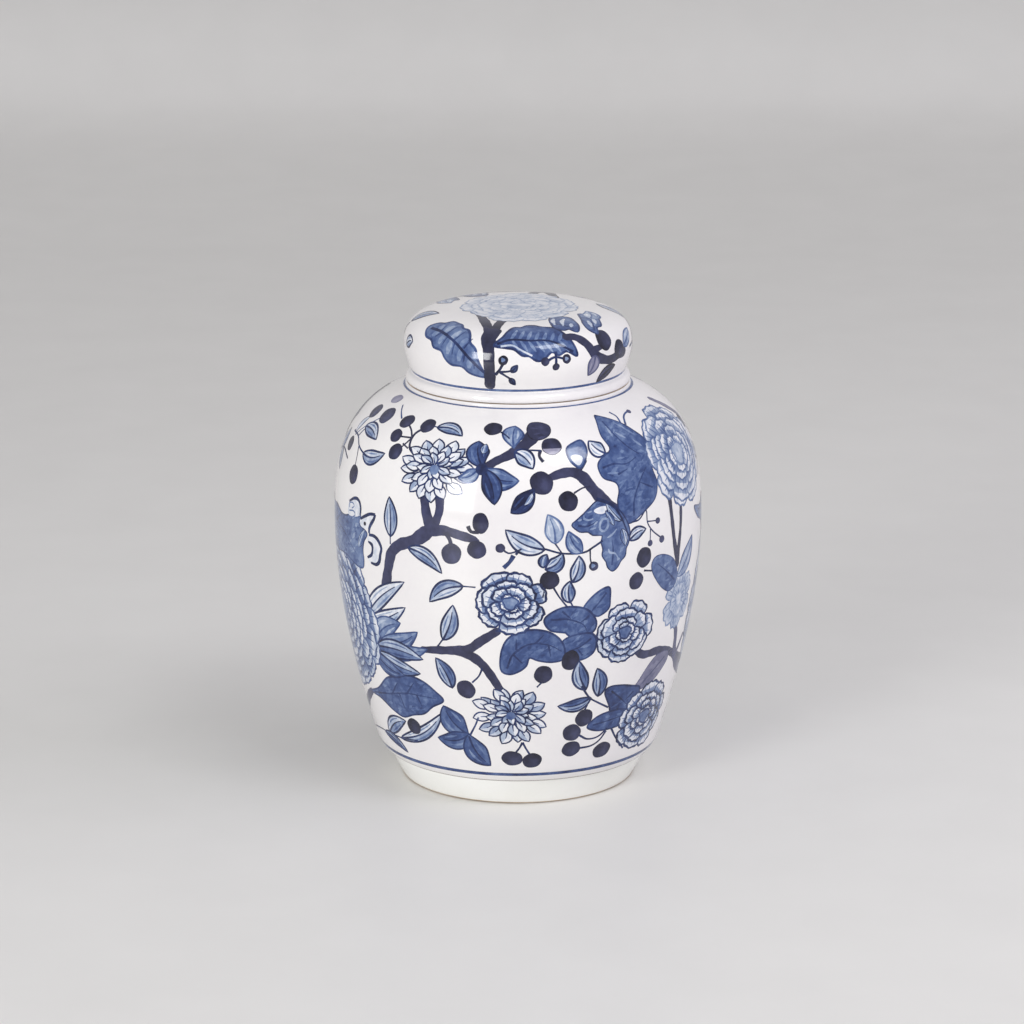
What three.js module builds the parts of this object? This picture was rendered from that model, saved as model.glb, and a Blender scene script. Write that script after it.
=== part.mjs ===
// Covered porcelain ginger jar: a hollow, shouldered jar with a short collar, and a domed cap lid
// that slips over the collar and rests on a seat ring. Millimetres, +Z up, origin at the centre
// of the foot's resting plane.

import * as THREE from 'three';

// ---- driving dimensions -------------------------------------------------------------------

const overallHeight = 248.4;   // table to the crown of the lid
const bellyDiameter = 190;     // widest part of the jar
const bellyHeight = 139.2;     // table to the widest part

const lidHeight = 38.1;        // underside of the lid's lip to its crown
const capSwellHeight = 19.7;   // underside of the lip to the widest part of the cap
const lipHeight = 5.5;         // underside of the lip to the waist
const seatGap = 0.3;           // play left between the lip and the seat
const seatRingHeight = 1.6;    // step from the shoulder up to the seat

const neckDiameter = 99;       // outside of the collar
const neckHeight = 17.5;       // collar above the seat
const neckWall = 4.5;
const lipClearance = 1.5;      // radial play between the collar and the lid

const jarWall = 5;
const lidWall = 4.2;
const lidFlare = 3.7;          // how far the cap swells outside its waist
const lipRoll = 2.6;           // how far the rounded lip stands out from the waist

const footDiameter = 126.8;    // outside of the resting ring
const footHeight = 14.8;       // table to the lower edge of the glazed body
const footSpread = 3.9;        // how far the foot leans out over its height
const footRingWidth = 6;
const footRecess = 6;          // hollow under the base
const floorThickness = 6;
const bodyEdgeStep = 1.5;      // overhang of the glazed body above the foot

const segments = 60;

// ---- derived sizes ------------------------------------------------------------------------

const bellyRadius = bellyDiameter / 2;
const seatZ = overallHeight - lidHeight - seatGap;
const lipZ = seatZ + seatGap;
const bellyZ = bellyHeight;
const shoulderZ = seatZ - seatRingHeight;

const neckRadius = neckDiameter / 2;
const mouthRadius = neckRadius - neckWall;
const neckTopZ = seatZ + neckHeight;
const capBoreRadius = neckRadius + lipClearance;
const waistRadius = capBoreRadius + lidWall - 0.25;
const lipRadius = waistRadius + lipRoll;
const capRadius = waistRadius + lidFlare;
const seatRadius = lipRadius + 0.5;

const footRadius = footDiameter / 2;
const bodyEdgeRadius = footRadius + footSpread + bodyEdgeStep;
const baseRadius = bodyEdgeRadius + 5.2;
const baseZ = footHeight + 8;
const floorZ = footRecess + floorThickness;

// ---- profile helpers: every point is (radius, height) --------------------------------------

const at = (radius, height) => new THREE.Vector2(radius, height);

function curve(start, leave, arrive, end, steps) {
  return new THREE.CubicBezierCurve(start, leave, arrive, end).getPoints(steps);
}

// Moves a run of profile points towards the hollow side by the wall's thickness.
function inset(points, thickness) {
  return points.map((point, i) => {
    const before = points[Math.max(i - 1, 0)];
    const after = points[Math.min(i + 1, points.length - 1)];
    const along = after.clone().sub(before).normalize();
    return at(point.x - along.y * thickness, point.y + along.x * thickness);
  });
}

// Joins runs of points, leaving out a point that repeats the one before it.
function chain(...runs) {
  const points = [];
  for (const point of runs.flat()) {
    const last = points[points.length - 1];
    if (!last || last.distanceTo(point) > 0.02) points.push(point);
  }
  return points;
}

function turned(name, profile, material) {
  const geometry = new THREE.LatheGeometry(profile, segments);
  geometry.rotateX(Math.PI / 2);
  const mesh = new THREE.Mesh(geometry, material);
  mesh.name = name;
  return mesh;
}

// ---- jar ----------------------------------------------------------------------------------

const lowerRise = bellyZ - baseZ;
const lowerSpread = bellyRadius - baseRadius;
const lowerWall = curve(
  at(baseRadius, baseZ),
  at(baseRadius + 0.549 * lowerSpread, baseZ + 0.319 * lowerRise),
  at(bellyRadius, bellyZ - 0.36 * lowerRise),
  at(bellyRadius, bellyZ),
  9,
);

const upperRise = shoulderZ - bellyZ;
const upperSpread = bellyRadius - seatRadius;
const shoulderWall = curve(
  at(bellyRadius, bellyZ),
  at(bellyRadius, bellyZ + 0.46 * upperRise),
  at(seatRadius + 0.858 * upperSpread, shoulderZ - 0.165 * upperRise),
  at(seatRadius, shoulderZ),
  9,
);

const foot = [
  at(0, footRecess),
  at(footRadius - footRingWidth - 2.4, footRecess),
  at(footRadius - footRingWidth - 0.8, footRecess - 1.2),
  at(footRadius - footRingWidth, 0.7),
  at(footRadius - footRingWidth + 0.7, 0),
  at(footRadius - 0.9, 0),
  at(footRadius, 0.9),
  at(footRadius + 0.46 * footSpread, 0.4 * footHeight),
  at(footRadius + 0.86 * footSpread, 0.8 * footHeight),
  at(footRadius + footSpread, footHeight - 0.5),
];

const bodyEdge = [
  at(bodyEdgeRadius - 0.4, footHeight - 0.1),
  at(bodyEdgeRadius + 1.3, footHeight + 0.7),
  at(baseRadius - 1.1, baseZ - 3.2),
];

const seatAndNeck = [
  at(seatRadius, shoulderZ),
  at(seatRadius - 0.2, seatZ - 0.4),
  at(seatRadius - 0.6, seatZ),
  at(neckRadius + 0.8, seatZ),
  at(neckRadius, seatZ + 0.8),
  at(neckRadius, neckTopZ - 1.3),
  at(neckRadius - 0.6, neckTopZ - 0.3),
  at(neckRadius - 1.4, neckTopZ),
  at(mouthRadius + 1.4, neckTopZ),
  at(mouthRadius + 0.4, neckTopZ - 0.4),
  at(mouthRadius, neckTopZ - 1.4),
  at(mouthRadius, seatZ + 1),
  at(mouthRadius + 1.2, seatZ - 3.2),
];

const innerShoulder = inset(shoulderWall, jarWall).reverse().slice(1);
const innerLower = inset(lowerWall, jarWall).reverse().slice(1);

const floor = [
  at(baseRadius - 6.6, floorZ + 5.6),
  at(baseRadius - 10.5, floorZ + 1.6),
  at(baseRadius - 17, floorZ),
  at(0, floorZ),
];

const jarProfile = chain(foot, bodyEdge, lowerWall, shoulderWall, seatAndNeck, innerShoulder, innerLower, floor);

// ---- lid ----------------------------------------------------------------------------------

const waistZ = lipZ + lipHeight;
const capZ = lipZ + capSwellHeight;
const crownZ = lipZ + lidHeight;

const capSide = curve(
  at(waistRadius, waistZ),
  at(waistRadius + 0.75, waistZ + 2.2),
  at(capRadius, capZ - 5.1),
  at(capRadius, capZ),
  5,
);

const capDome = curve(
  at(capRadius, capZ),
  at(capRadius, crownZ + 0.9),
  at(0.655 * capRadius, crownZ),
  at(0, crownZ),
  12,
);

const lip = [
  at(capBoreRadius, lipZ + 0.6),
  at(capBoreRadius + 0.6, lipZ),
  at(lipRadius - 1.1, lipZ),
  at(lipRadius - 0.2, lipZ + 0.7),
  at(lipRadius, lipZ + 1.9),
  at(lipRadius - 0.3, lipZ + 3.2),
  at(lipRadius - 1.3, lipZ + 4.5),
];

const innerDome = inset(capDome, lidWall).reverse();
innerDome[0] = at(0, crownZ - lidWall);
const capInside = [
  at(capBoreRadius + 2.5, capZ - 3.6),
  at(capBoreRadius, waistZ + 2.8),
];

const lidProfile = chain(innerDome, capInside, lip, capSide, capDome);

// ---- assembly -----------------------------------------------------------------------------

const glaze = { color: 0xebe8eb, roughness: 0.12, metalness: 0 };
const jarBody = turned('jar_body', jarProfile, new THREE.MeshStandardMaterial(glaze));
const lidCap = turned('lid', lidProfile, new THREE.MeshStandardMaterial(glaze));

const gingerJar = new THREE.Group();
gingerJar.name = 'ginger_jar';
gingerJar.add(jarBody, lidCap);

export default gingerJar;
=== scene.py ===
"""Blue and white porcelain ginger jar with a cap lid. The shapes' own numbers are millimetres and
degrees; Blender's are metres. Every painted motif is a thin film of colour lying on the glaze."""

import math
import random

import bpy
import numpy as np
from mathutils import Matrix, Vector
from mathutils.geometry import delaunay_2d_cdt


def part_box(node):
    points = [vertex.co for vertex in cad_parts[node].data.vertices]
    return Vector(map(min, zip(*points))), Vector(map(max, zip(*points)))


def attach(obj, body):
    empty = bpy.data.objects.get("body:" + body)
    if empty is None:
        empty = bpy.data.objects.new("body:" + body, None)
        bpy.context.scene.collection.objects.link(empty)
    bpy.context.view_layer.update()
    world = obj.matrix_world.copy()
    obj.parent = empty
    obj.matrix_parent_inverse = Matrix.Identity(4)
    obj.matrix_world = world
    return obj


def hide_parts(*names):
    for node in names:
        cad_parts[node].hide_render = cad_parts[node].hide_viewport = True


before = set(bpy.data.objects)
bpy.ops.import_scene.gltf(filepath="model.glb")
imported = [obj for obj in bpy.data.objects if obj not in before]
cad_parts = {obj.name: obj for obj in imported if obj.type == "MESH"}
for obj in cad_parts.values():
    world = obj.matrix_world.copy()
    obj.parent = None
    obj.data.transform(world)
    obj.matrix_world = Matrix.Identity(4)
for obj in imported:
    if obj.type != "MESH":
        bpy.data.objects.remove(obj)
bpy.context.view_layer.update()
scene = bpy.context.scene
MM = 0.001

# ---- sizes taken from the frame -------------------------------------------------------------

_, jar_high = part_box("jar_body")
lid_low, lid_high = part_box("lid")
BELLY, NECK_TOP = jar_high[0] / MM, jar_high[2] / MM
CAP, LIP, CROWN = lid_high[0] / MM, lid_low[2] / MM, lid_high[2] / MM
LID_GAP = 0.3
SEAT = LIP - LID_GAP

# ---- profiles: (radius, height) in millimetres ------------------------------------------------


def bezier(start, leave, arrive, end, steps):
    """A curve that leaves start towards one point and arrives at end from another."""
    t = np.linspace(0, 1, steps + 1)[:, None]
    a, b, c, d = (np.array(p, float) for p in (start, leave, arrive, end))
    return (1 - t) ** 3 * a + 3 * (1 - t) ** 2 * t * b + 3 * (1 - t) * t * t * c + t**3 * d


def inset(points, thickness):
    """A profile moved inwards, for the other side of a wall."""
    along = np.gradient(points, axis=0)
    along /= np.hypot(*along.T)[:, None]
    return points + thickness * np.stack([-along[:, 1], along[:, 0]], 1)


def chain(*runs):
    """Runs of points joined into one profile, without repeated points."""
    points = np.vstack([np.atleast_2d(np.array(run, float)) for run in runs])
    keep = np.concatenate([[True], np.hypot(*np.diff(points, axis=0).T) > 0.02])
    return points[keep]


# The foot: its radius near the floor, its height, and the bare ring that it stands on.
FOOT, FOOT_TOP = 60.2, 14.8
REST_OUT, REST_IN = FOOT - 1.5, FOOT - 5.0
# The body: the edge over the foot, the start of the long wall, the belly and the shoulder's end.
EDGE = 68.8
BASE, BASE_Z = EDGE + 5.2, FOOT_TOP + 8
BELLY_Z = 0.663 * SEAT
SEAT_R, SHOULDER_Z = 58.05, SEAT - 1.6
# The collar's two radii, and the lid's radii over and at its lip.
NECK, MOUTH, COLLAR_FOOT = 49.5, 45.0, SEAT + 2
WAIST, LIP_OUT, LIP_IN = 54.95, 56.4, 51
THICK, LID_THICK = 5, 4.2

rise, spread = BELLY_Z - BASE_Z, BELLY - BASE
lower_wall = bezier(
    (BASE, BASE_Z),
    (BASE + 0.549 * spread, BASE_Z + 0.319 * rise),
    (BELLY, BELLY_Z - 0.36 * rise),
    (BELLY, BELLY_Z),
    60,
)
rise, spread = SHOULDER_Z - BELLY_Z, BELLY - SEAT_R
shoulder = bezier(
    (BELLY, BELLY_Z),
    (BELLY, BELLY_Z + 0.46 * rise),
    (SEAT_R + 0.858 * spread, SHOULDER_Z - 0.165 * rise),
    (SEAT_R, SHOULDER_Z),
    50,
)
body_edge = bezier(
    (EDGE, FOOT_TOP + 0.2), (EDGE + 1.6, FOOT_TOP + 0.5), (BASE - 1.1, BASE_Z - 3.2), (BASE, BASE_Z), 10
)
painted_body = chain(body_edge, lower_wall, shoulder)

cap_z = LIP + 0.517 * (CROWN - LIP)
cap_side = bezier(
    (WAIST, LIP + 5.5), (WAIST + 0.75, LIP + 7.7), (CAP, cap_z - 5.1), (CAP, cap_z), 24
)
cap_dome = bezier((CAP, cap_z), (CAP, CROWN + 0.9), (0.655 * CAP, CROWN), (0, CROWN), 60)
painted_cap = chain(cap_side, cap_dome)

# ---- materials --------------------------------------------------------------------------------


class Nodes:
    """Short calls for building one material's node tree."""

    def __init__(self, name):
        self.material = bpy.data.materials.new(name)
        self.material.use_nodes = True
        self.tree = self.material.node_tree
        self.shader = self.tree.nodes["Principled BSDF"]
        self.place = self.tree.nodes.new("ShaderNodeTexCoord").outputs["Object"]

    def link(self, output, socket):
        if isinstance(output, (int, float)):
            socket.default_value = output
        else:
            self.tree.links.new(output, socket)

    def node(self, kind, **values):
        node = self.tree.nodes.new("ShaderNode" + kind)
        for name, value in values.items():
            node.inputs[name].default_value = value
        return node

    def noise(self, size_mm, detail=3.0, stretch=(1, 1, 1)):
        """Noise from 0 to 1 whose features are about size_mm across."""
        mapping = self.node("Mapping", Scale=[s / (size_mm * MM) for s in stretch])
        self.link(self.place, mapping.inputs["Vector"])
        node = self.node("TexNoise", Scale=1.0, Detail=detail)
        self.link(mapping.outputs["Vector"], node.inputs["Vector"])
        return node.outputs["Fac"]

    def math(self, operation, a, b=0.0, c=0.0, clamp=False):
        node = self.node("Math")
        node.operation = operation
        node.use_clamp = clamp
        for value, socket in zip((a, b, c), node.inputs):
            self.link(value, socket)
        return node.outputs[0]

    def colour(self, factor, stops):
        """Colours the surface by a factor, through stops of (factor, screen colour)."""
        ramp = self.node("ValToRGB")
        elements = ramp.color_ramp.elements
        while len(elements) < len(stops):
            elements.new(0.5)
        for element, (at, colour) in zip(elements, stops):
            element.position = at
            element.color = (*linear(colour), 1)
        self.link(factor, ramp.inputs["Fac"])
        self.link(ramp.outputs["Color"], self.shader.inputs["Base Color"])

    def attribute(self, name):
        node = self.node("Attribute")
        node.attribute_name = name
        return node.outputs["Fac"]

    def bump(self, height, distance_mm, strength):
        node = self.node("Bump", Distance=distance_mm * MM, Strength=strength)
        self.link(height, node.inputs["Height"])
        self.link(node.outputs["Normal"], self.shader.inputs["Normal"])


def linear(colour):
    """Screen colour, 0 to 255, as Blender's linear light."""
    return [c / 255 / 12.92 if c < 10.3 else ((c / 255 + 0.055) / 1.055) ** 2.4 for c in colour]


def glossy(nodes, roughness=0.1):
    """The clear glaze over everything: a hard shine with the faint waviness of a fired surface."""
    nodes.shader.inputs["Roughness"].default_value = roughness
    nodes.shader.inputs["IOR"].default_value = 1.5
    wave = nodes.math("MULTIPLY_ADD", nodes.noise(1.3, 2), 0.12, nodes.noise(14, 1))
    nodes.bump(wave, 0.25, 0.25)


def glaze(name, light, dark, roughness=0.1):
    """White glaze, a little cloudy, with a few grey specks."""
    nodes = Nodes(name)
    cloud = nodes.math("MULTIPLY_ADD", nodes.noise(2.2, 4), 0.3, nodes.noise(38, 2))
    speck = nodes.math("GREATER_THAN", nodes.noise(0.8, 0), 0.86)
    cloud = nodes.math("ADD", cloud, nodes.math("MULTIPLY", speck, 0.6))
    nodes.colour(cloud, [(0.35, light), (0.95, dark)])
    glossy(nodes, roughness)
    return nodes.material


def biscuit(name):
    """Bare fired clay, where the glaze was wiped off."""
    nodes = Nodes(name)
    grain = nodes.math("MULTIPLY_ADD", nodes.noise(0.5, 5), 0.5, nodes.noise(9, 3))
    nodes.colour(grain, [(0.3, (222, 208, 186)), (1.0, (182, 158, 128))])
    nodes.shader.inputs["Roughness"].default_value = 0.8
    nodes.bump(nodes.noise(0.4, 4), 0.1, 0.6)
    return nodes.material


def ink(name, stops, mottle):
    """Brushed colour under the glaze; the same films also carry a few painted reflections and a painted
    shadow. The tone attribute is how loaded the brush was.
    """
    nodes = Nodes(name)
    pool = nodes.math("MULTIPLY_ADD", nodes.noise(2.4, 4), 0.7, nodes.noise(7, 2, (1, 1, 0.45)))
    pool = nodes.math("MULTIPLY_ADD", pool, mottle, -0.85 * mottle)
    nodes.colour(nodes.math("ADD", nodes.attribute("tone"), pool, clamp=True), stops)
    glossy(nodes)
    return nodes.material


WHITE = glaze("white_glaze", (238, 236, 234), (229, 226, 227))
# The foot's glaze has a faint cream tint and is made lighter than the body's white, partly as painted light
# from the floor's bounce.
CREAM = glaze("foot_glaze", (247, 247, 244), (241, 241, 235), 0.16)
BISCUIT = biscuit("bare_clay")
COBALT = ink("cobalt", [
    (0.0, (227, 228, 233)), (0.2, (174, 186, 206)), (0.42, (107, 127, 166)),
    (0.62, (60, 81, 130)), (0.8, (38, 52, 96)), (1.0, (22, 27, 56)),
], 0.5)
INDIGO = ink("indigo", [
    (0.0, (150, 148, 170)), (0.45, (76, 80, 116)), (0.75, (48, 50, 78)), (1.0, (24, 24, 40)),
], 0.36)
# Umber draws only the thin line along the body's lower edge over the foot, a painted shadow of that edge.
UMBER = ink("umber", [(0.0, (214, 200, 186)), (0.6, (112, 84, 70)), (1.0, (62, 44, 42))], 0.5)
INKS = [COBALT, INDIGO, UMBER]

# ---- mesh helpers -----------------------------------------------------------------------------


def new_piece(name, corners, faces, materials, slots):
    """A smooth mesh in the scene, from corners in millimetres and each face's material slot."""
    mesh = bpy.data.meshes.new(name)
    mesh.from_pydata((np.array(corners) * MM).tolist(), [], faces)
    for material in materials:
        mesh.materials.append(material)
    mesh.polygons.foreach_set("material_index", slots)
    mesh.polygons.foreach_set("use_smooth", [True] * len(faces))
    piece = bpy.data.objects.new(name, mesh)
    scene.collection.objects.link(piece)
    return piece


def turned(name, profile, bands, segments=256):
    """A closed turned piece. bands are (the profile point where it starts, material)."""
    angles = np.arange(segments) * math.tau / segments
    ring = np.stack([np.cos(angles), np.sin(angles)], 1)
    on_axis = profile[:, 0] < 1e-6
    corners, first = [], []
    for (radius, height), pole in zip(profile, on_axis):
        first.append(len(corners))
        corners.extend((x, y, height) for x, y in ([(0, 0)] if pole else radius * ring))
    faces, slots = [], []
    for i in range(len(profile) - 1):
        slot = max(j for j, (start, _) in enumerate(bands) if start <= i)
        for k in range(segments):
            n = (k + 1) % segments
            low = [first[i]] if on_axis[i] else [first[i] + k, first[i] + n]
            high = [first[i + 1]] if on_axis[i + 1] else [first[i + 1] + n, first[i + 1] + k]
            faces.append(low + high)
            slots.append(slot)
    piece = new_piece(name, corners, faces, [material for _, material in bands], slots)
    piece.data.set_sharp_from_angle(angle=math.radians(50))
    piece.data.update()
    return piece


def rounded(*corners, radius=0.5, steps=3):
    """A run of profile points with each inner corner rounded off."""
    points = [np.array(c, float) for c in corners]
    run = [points[0]]
    for before, corner, after in zip(points, points[1:], points[2:]):
        back, on = before - corner, after - corner
        reach = min(radius, np.hypot(*back) / 2.1, np.hypot(*on) / 2.1)
        enter, leave = (corner + way / np.hypot(*way) * reach for way in (back, on))
        run.extend(bezier(enter, (enter + 2 * corner) / 3, (leave + 2 * corner) / 3, leave, steps))
    run.append(points[-1])
    return np.array(run)


# ---- jar and lid ------------------------------------------------------------------------------

foot_inside = rounded((0, 6), (REST_IN - 3.2, 6), (REST_IN - 1.4, 0.4), (REST_IN, 0), radius=1.4)
foot_rest = [(REST_IN, 0), (REST_OUT, 0)]
foot_side = chain(
    rounded((REST_OUT, 0), (FOOT, 0.2), (FOOT + 1.0, 2), radius=0.8),
    bezier((FOOT + 1.0, 2), (FOOT + 3.0, 5.8), (EDGE - 3.0, 10.4), (EDGE - 1.4, FOOT_TOP - 0.4), 10),
    [(EDGE - 0.4, FOOT_TOP - 0.1)],
)
seat = rounded((SEAT_R, SHOULDER_Z), (SEAT_R - 0.1, SEAT), (NECK, SEAT), (NECK, SEAT + 3), radius=0.9)
collar = rounded(
    (NECK, SEAT + 3), (NECK, NECK_TOP), (MOUTH, NECK_TOP), (MOUTH, COLLAR_FOOT), radius=1.5, steps=4
)
inner_shoulder = inset(shoulder, THICK)[::-1]
inner_neck = bezier((MOUTH, COLLAR_FOOT), (MOUTH, SEAT - 3), (MOUTH + 4, SEAT - 5), inner_shoulder[1], 6)
inner_lower = inset(lower_wall, THICK)[::-1]
wall_foot, floor_z = inner_lower[-1], 12
floor = bezier(wall_foot, (wall_foot[0] - 2, floor_z + 4), (BASE - 10, floor_z), (BASE - 20, floor_z), 8)
jar_profile = chain(
    foot_inside, foot_rest, foot_side, painted_body, seat, collar, inner_neck, inner_shoulder[1:],
    inner_lower, floor, [(30, floor_z), (0, floor_z)],
)


def start_of(profile, point):
    """Which point of a profile is nearest to a place, to start a band of material there."""
    return int(np.argmin(np.hypot(*(profile - np.array(point)).T)))


jar_bands = [
    (0, WHITE),
    (start_of(jar_profile, (REST_IN, 0)), BISCUIT),
    (start_of(jar_profile, (REST_OUT, 0)) + 4, CREAM),
    (start_of(jar_profile, (EDGE, FOOT_TOP + 0.2)), WHITE),
    (start_of(jar_profile, (SEAT_R - 3, SEAT)), BISCUIT),
    (start_of(jar_profile, (MOUTH, NECK_TOP - 1.5)), WHITE),
]
jar = turned("jar", jar_profile, jar_bands)
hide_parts("jar_body")
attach(jar, "jar")

roll_top = (56.2, LIP + 4.6)
lip_outside = bezier((LIP_OUT, LIP), (58.6, LIP), (58.0, LIP + 3.6), roll_top, 10)
waist = bezier(roll_top, (55.4, LIP + 5.0), (54.9, LIP + 5.2), (WAIST, LIP + 5.5), 3)
inner_dome = inset(cap_dome, LID_THICK)[::-1]
inner_dome[0] = (0, CROWN - LID_THICK)
cap_inside = rounded(inner_dome[-1], (53.6, cap_z - 4), (LIP_IN, LIP + 9), (LIP_IN, LIP + 2), radius=3)
lip_under = rounded((LIP_IN, LIP + 2), (LIP_IN, LIP), (LIP_OUT, LIP), radius=0.7)
lid_profile = chain(inner_dome, cap_inside, lip_under, lip_outside, waist, painted_cap)
lid_bands = [
    (0, WHITE),
    (start_of(lid_profile, (LIP_IN, LIP + 0.7)), BISCUIT),
    (start_of(lid_profile, (LIP_OUT, LIP)) + 1, WHITE),
]
lid = turned("lid_cap", lid_profile, lid_bands)
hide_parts("lid")
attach(lid, "lid")

# ---- painting: sheets -------------------------------------------------------------------------


class Wall:
    """The painted outside of a turned piece, unrolled. A place on it is (degrees round from the
    front, millimetres up the wall); on the sheet it is a complex number in millimetres."""

    def __init__(self, profile, body, slot, step):
        self.radius, self.height = profile.T
        self.body, self.slot, self.step = body, slot, step
        self.up = np.concatenate([[0], np.cumsum(np.hypot(*np.diff(profile, axis=0).T))])
        self.out = np.gradient(self.height, self.up)
        self.over = -np.gradient(self.radius, self.up)
        self.widest = self.radius.max()

    def spot(self, place):
        return complex(math.radians(place[0]) * self.widest, place[1])

    def polar(self, spots):
        """The angle round the piece and the way up its wall."""
        return spots.real / self.widest, spots.imag

    def squeeze(self, up):
        """How much narrower the wall is than the sheet."""
        return np.interp(up, self.up, self.radius) / self.widest

    def around(self, middle, offsets):
        """Offsets in true millimetres from a spot, as spots of the sheet."""
        up = middle.imag + np.imag(offsets)
        return middle.real + np.real(offsets) / self.squeeze(up) + 1j * up

    def wrap(self, spots, lift):
        """Spots as places so far over the wall, and the wall's direction there."""
        angle, up = self.polar(spots)
        runs = (self.radius, self.height, self.out, self.over)
        radius, height, out, over = (np.interp(up, self.up, run) for run in runs)
        size = np.hypot(out, over)
        out, over = out / size, over / size
        radius = radius + lift * out
        places = np.stack([radius * np.sin(angle), -radius * np.cos(angle), height + lift * over], 1)
        return places, np.stack([out * np.sin(angle), -out * np.cos(angle), over], 1)


class Crown(Wall):
    """The lid's top seen from above: places are millimetres right of and behind the pole."""

    def spot(self, place):
        return complex(*place)

    def polar(self, spots):
        return np.arctan2(spots.real, -spots.imag), self.up[-1] - np.abs(spots)

    def squeeze(self, up):
        return np.ones_like(np.asarray(up, float))


BODY = Wall(painted_body, "jar", "jar_glaze", 1.8)
CAP_SIDE = Wall(painted_cap, "lid", "lid_glaze", 1.2)
CAP_TOP = Crown(painted_cap, "lid", "lid_glaze", 1.5)

# ---- painting: curves -------------------------------------------------------------------------


def smooth(points, closed=False, step=1.1):
    """A smooth curve through a few points, about one point a step."""
    p = np.asarray(points, complex)
    if len(p) == 2 and not closed:
        count = max(2, int(abs(p[1] - p[0]) / step))
        return p[0] + (p[1] - p[0]) * np.linspace(0, 1, count + 1)
    before, after = (p[-1:], p[:2]) if closed else (2 * p[:1] - p[1:2], 2 * p[-1:] - p[-2:-1])
    ring = np.concatenate([before, p, after])
    curve = []
    for a, b, c, d in zip(ring, ring[1:], ring[2:], ring[3:]):
        t = np.linspace(0, 1, max(2, int(abs(c - b) / step)) + 1)[:-1]
        square, cube = 2 * a - 5 * b + 4 * c - d, 3 * b - a - 3 * c + d
        curve.append(0.5 * (2 * b + (c - a) * t + square * t**2 + cube * t**3))
    if not closed:
        curve.append(p[-1:])
    return np.concatenate(curve)


def angles_round(count):
    """Evenly spaced angles, once round."""
    return np.linspace(0, math.tau, count + 1)[:-1]


def spread_along(values, count):
    """A few values spread evenly over count points."""
    values = np.atleast_1d(np.asarray(values, float))
    return np.interp(np.linspace(0, 1, count), np.linspace(0, 1, len(values)), values)


def inside(spot, outline):
    """Whether a spot lies within a closed outline."""
    a, b = outline, np.roll(outline, -1)
    spans = (a.imag > spot.imag) != (b.imag > spot.imag)
    a, b = a[spans], b[spans]
    cross = a.real + (spot.imag - a.imag) / (b.imag - a.imag) * (b.real - a.real)
    return np.count_nonzero(cross > spot.real) % 2 == 1


def loop(out, back):
    """One run out and another back, as a closed outline."""
    return np.concatenate([out, back[-2:0:-1]])


# How deep a film's underside lies in the wall, its edge's tone, and the margin round its map.
FILM_DEPTH, RIM_TONE, MARGIN = 0.25, 0.7, 0.02


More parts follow.
